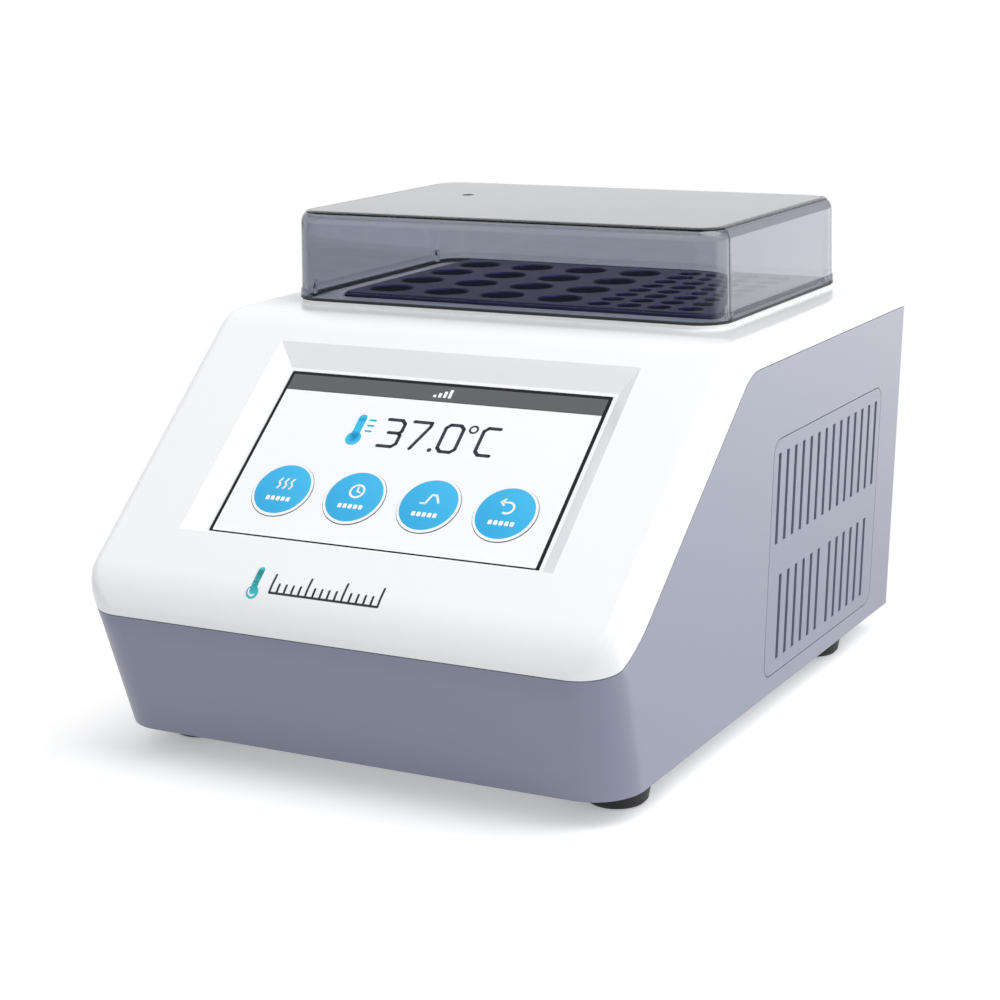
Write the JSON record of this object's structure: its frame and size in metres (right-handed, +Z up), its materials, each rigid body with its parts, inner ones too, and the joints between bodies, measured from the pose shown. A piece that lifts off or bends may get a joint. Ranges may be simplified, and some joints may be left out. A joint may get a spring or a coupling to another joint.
{
  "type": "dry bath incubator",
  "caption": "Bench dry bath incubator with a sloping touch screen, a lift-off clear lid and a drilled heating block for tubes of two sizes",
  "frame": {"origin": "on the bench, under the middle of the box that holds the instrument", "axes": "+Z up, -Y the front with the screen, +X the right side seen from the front"},
  "size_m": [0.2538, 0.336, 0.2209],
  "materials": {
    "cover_white": "glossy",
    "base_grey": "satin",
    "vent_grey": "satin",
    "screen_glass": "glossy",
    "clear_lid": "clear, slightly smoky",
    "block_anodised": "dark blue anodised",
    "black_rubber": "matt",
    "bare_aluminium": "milled",
    "zinc_sheet": "zinc plated",
    "steel_screws": "zinc plated",
    "black_plastic": "moulded",
    "board_green": "solder mask",
    "silicone_red": "moulded",
    "foam_grey": "felted",
    "fuse_glass": "clear",
    "core_dark": "varnished"
  },
  "bodies": {
    "housing": {"vent_panel_left": "vent_grey", "vent_panel_right": "vent_grey", "base_shell": "base_grey", "base_plate": "zinc_sheet", "foot_front_left": "black_rubber", "foot_rear_left": "black_rubber", "foot_front_right": "black_rubber", "foot_rear_right": "black_rubber", "foot_screws": "steel_screws", "foot_nuts": "steel_screws", "floor_screws": "steel_screws", "top_cover": "cover_white", "cover_screws": "steel_screws", "display_glass": "screen_glass", "display_module": "black_plastic", "display_posts": "steel_screws", "display_board": "board_green", "display_screws": "steel_screws", "lid_gasket": "black_rubber", "heater_plate": "bare_aluminium", "locating_pins": "steel_screws", "heater_mat": "silicone_red", "well_liner": "zinc_sheet", "insulation_jacket": "foam_grey", "heater_tray": "zinc_sheet", "tray_posts": "steel_screws", "temperature_sensor": "steel_screws", "thermal_cutout": "core_dark", "rear_panel": "zinc_sheet", "rear_panel_screws": "steel_screws", "fan_frame": "black_plastic", "fan_guard": "steel_screws", "fan_screws": "steel_screws", "power_inlet": "black_plastic", "switch_case": "black_plastic", "supply_board": "board_green", "control_board": "board_green", "board_posts": "steel_screws", "board_screws": "steel_screws", "transformer": "core_dark", "capacitors": "core_dark", "heat_sink": "bare_aluminium", "power_triacs": "black_plastic"},
    "lid": {"lid": "clear_lid"},
    "block": {"heating_block": "block_anodised"},
    "rotor": {"fan_rotor": "black_plastic"},
    "rocker": {"power_rocker": "black_plastic"},
    "drawer": {"fuse_drawer": "black_plastic", "fuses": "fuse_glass"}
  },
  "joints": [
    {"name": "lid_lift", "type": "slide", "parent": "housing", "child": "lid", "axis": [0, 0, 1], "range_m": [0, 0.06]},
    {"name": "block_lift", "type": "slide", "parent": "housing", "child": "block", "axis": [0, 0, 1], "range_m": [0, 0.034]},
    {"name": "fan_spin", "type": "hinge", "parent": "housing", "child": "rotor", "pos_m": [-0.058, 0.1512, 0.1], "axis": [0, 1, 0], "continuous": true},
    {"name": "rocker_tip", "type": "hinge", "parent": "housing", "child": "rocker", "pos_m": [0.072, 0.1598, 0.092], "axis": [1, 0, 0], "range_deg": [0, 18]},
    {"name": "drawer_slide", "type": "slide", "parent": "housing", "child": "drawer", "axis": [0, 1, 0], "range_m": [0, 0.018]}
  ]
}
